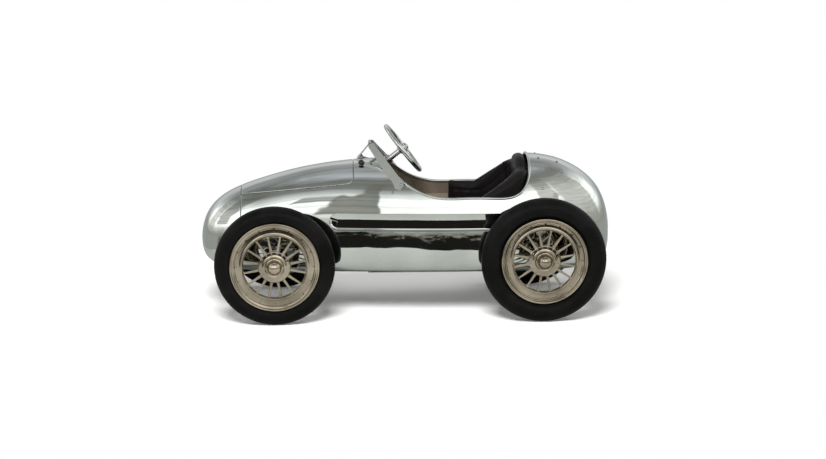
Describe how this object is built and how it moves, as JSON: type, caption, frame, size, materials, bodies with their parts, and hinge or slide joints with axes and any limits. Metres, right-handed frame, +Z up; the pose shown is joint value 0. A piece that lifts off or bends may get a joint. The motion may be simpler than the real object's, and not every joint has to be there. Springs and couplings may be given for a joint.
{
  "type": "pedal car",
  "caption": "Child's ride-on pedal racing car with a polished metal body, open cockpit, black upholstery, spoked wheels, working steering and chain drive.",
  "frame": {"origin": "middle of the bounding box's bottom face, on the ground", "axes": "front of the car along -X, its left side along -Y, +Z up"},
  "size_m": [1.1518, 0.5, 0.5179],
  "materials": {
    "body_chrome": "mirror-polished sheet metal",
    "bright_chrome": "bright plated fittings",
    "wheel_nickel": "warm polished nickel",
    "tyre_rubber": "smooth black solid rubber",
    "bare_metal": "dull bare sheet metal",
    "frame_steel": "black enamel on steel tube",
    "machined_steel": "zinc-plated machined steel",
    "pedal_rubber": "ribbed black rubber",
    "seat_vinyl": "black grained upholstery"
  },
  "bodies": {
    "root": {"body_shell": "body_chrome", "bonnet_panel": "body_chrome", "nose_cowl": "body_chrome", "belly_pan": "bare_metal", "cockpit_rim": "body_chrome", "dash_panel": "bare_metal", "stay_left": "bright_chrome", "stay_right": "bright_chrome", "stay_strut": "bright_chrome", "stay_knobs": "pedal_rubber", "body_screws": "machined_steel", "frame_rail_left": "frame_steel", "frame_rail_right": "frame_steel", "cross_member_front": "frame_steel", "cross_member_middle": "frame_steel", "cross_member_rear": "frame_steel", "front_axle_beam": "frame_steel", "column_bush": "machined_steel", "crank_hanger_left": "frame_steel", "crank_hanger_right": "frame_steel", "chain": "machined_steel", "chain_guard": "frame_steel", "axle_bearing_left": "frame_steel", "axle_bearing_right": "frame_steel", "seat_pan": "bare_metal", "seat_cushion": "seat_vinyl", "seat_back": "seat_vinyl"},
    "steering": {"steering_column": "bright_chrome", "steering_wheel": "bright_chrome", "steering_nut": "bright_chrome"},
    "knuckle_left": {"knuckle_left": "machined_steel", "kingpin_left": "machined_steel", "stub_nut_left": "machined_steel"},
    "knuckle_right": {"knuckle_right": "machined_steel", "kingpin_right": "machined_steel", "stub_nut_right": "machined_steel"},
    "track_rod": {"track_rod": "machined_steel"},
    "wheel_front_left": {"wheel_front_left": "wheel_nickel", "tyre_front_left": "tyre_rubber", "hub_cap_front_left": "bright_chrome", "rivets_front_left": "wheel_nickel"},
    "wheel_front_right": {"wheel_front_right": "wheel_nickel", "tyre_front_right": "tyre_rubber", "hub_cap_front_right": "bright_chrome", "rivets_front_right": "wheel_nickel"},
    "rear_axle": {"rear_axle": "machined_steel", "rear_sprocket": "machined_steel", "rear_axle_nuts": "machined_steel", "wheel_rear_left": "wheel_nickel", "tyre_rear_left": "tyre_rubber", "hub_cap_rear_left": "bright_chrome", "rivets_rear_left": "wheel_nickel"},
    "wheel_rear_right": {"wheel_rear_right": "wheel_nickel", "tyre_rear_right": "tyre_rubber", "hub_cap_rear_right": "bright_chrome", "rivets_rear_right": "wheel_nickel"},
    "crank": {"crankshaft": "machined_steel", "front_sprocket": "machined_steel"},
    "pedal_left": {"pedal_left": "pedal_rubber"},
    "pedal_right": {"pedal_right": "pedal_rubber"}
  },
  "joints": [
    {"name": "steering_turn", "type": "hinge", "parent": "root", "child": "steering", "pos_m": [-0.009, 0, 0.451], "axis": [0.788, 0, 0.6157], "range_deg": [-15, 15]},
    {"name": "knuckle_left_turn", "type": "hinge", "parent": "root", "child": "knuckle_left", "pos_m": [-0.367, -0.15, 0.164], "axis": [0, 0, 1], "range_deg": [-15, 15]},
    {"name": "knuckle_right_turn", "type": "hinge", "parent": "root", "child": "knuckle_right", "pos_m": [-0.367, 0.15, 0.164], "axis": [0, 0, 1], "range_deg": [-15, 15]},
    {"name": "track_rod_turn", "type": "hinge", "parent": "knuckle_left", "child": "track_rod", "pos_m": [-0.329, -0.15, 0.152], "axis": [0, 0, 1], "range_deg": [-15, 15]},
    {"name": "wheel_front_left_spin", "type": "hinge", "parent": "knuckle_left", "child": "wheel_front_left", "pos_m": [-0.367, -0.21, 0.164], "axis": [0, 1, 0], "continuous": true},
    {"name": "wheel_front_right_spin", "type": "hinge", "parent": "knuckle_right", "child": "wheel_front_right", "pos_m": [-0.367, 0.21, 0.164], "axis": [0, 1, 0], "continuous": true},
    {"name": "crank_turn", "type": "hinge", "parent": "root", "child": "crank", "pos_m": [-0.20381, 0, 0.2], "axis": [0, 1, 0], "continuous": true, "deforming": ["chain"]},
    {"name": "rear_axle_turn", "type": "hinge", "parent": "root", "child": "rear_axle", "pos_m": [0.367, 0, 0.172], "axis": [0, 1, 0], "continuous": true},
    {"name": "wheel_rear_right_spin", "type": "hinge", "parent": "rear_axle", "child": "wheel_rear_right", "pos_m": [0.367, 0.21, 0.172], "axis": [0, 1, 0], "continuous": true},
    {"name": "pedal_left_spin", "type": "hinge", "parent": "crank", "child": "pedal_left", "pos_m": [-0.14381, -0.043, 0.2], "axis": [0, 1, 0], "continuous": true},
    {"name": "pedal_right_spin", "type": "hinge", "parent": "crank", "child": "pedal_right", "pos_m": [-0.26381, 0.043, 0.2], "axis": [0, 1, 0], "continuous": true}
  ],
  "couplings": [
    {"joint": "knuckle_left_turn", "follows": "steering_turn", "ratio": 1},
    {"joint": "knuckle_right_turn", "follows": "steering_turn", "ratio": 1},
    {"joint": "track_rod_turn", "follows": "steering_turn", "ratio": -1},
    {"joint": "rear_axle_turn", "follows": "crank_turn", "ratio": 1}
  ]
}
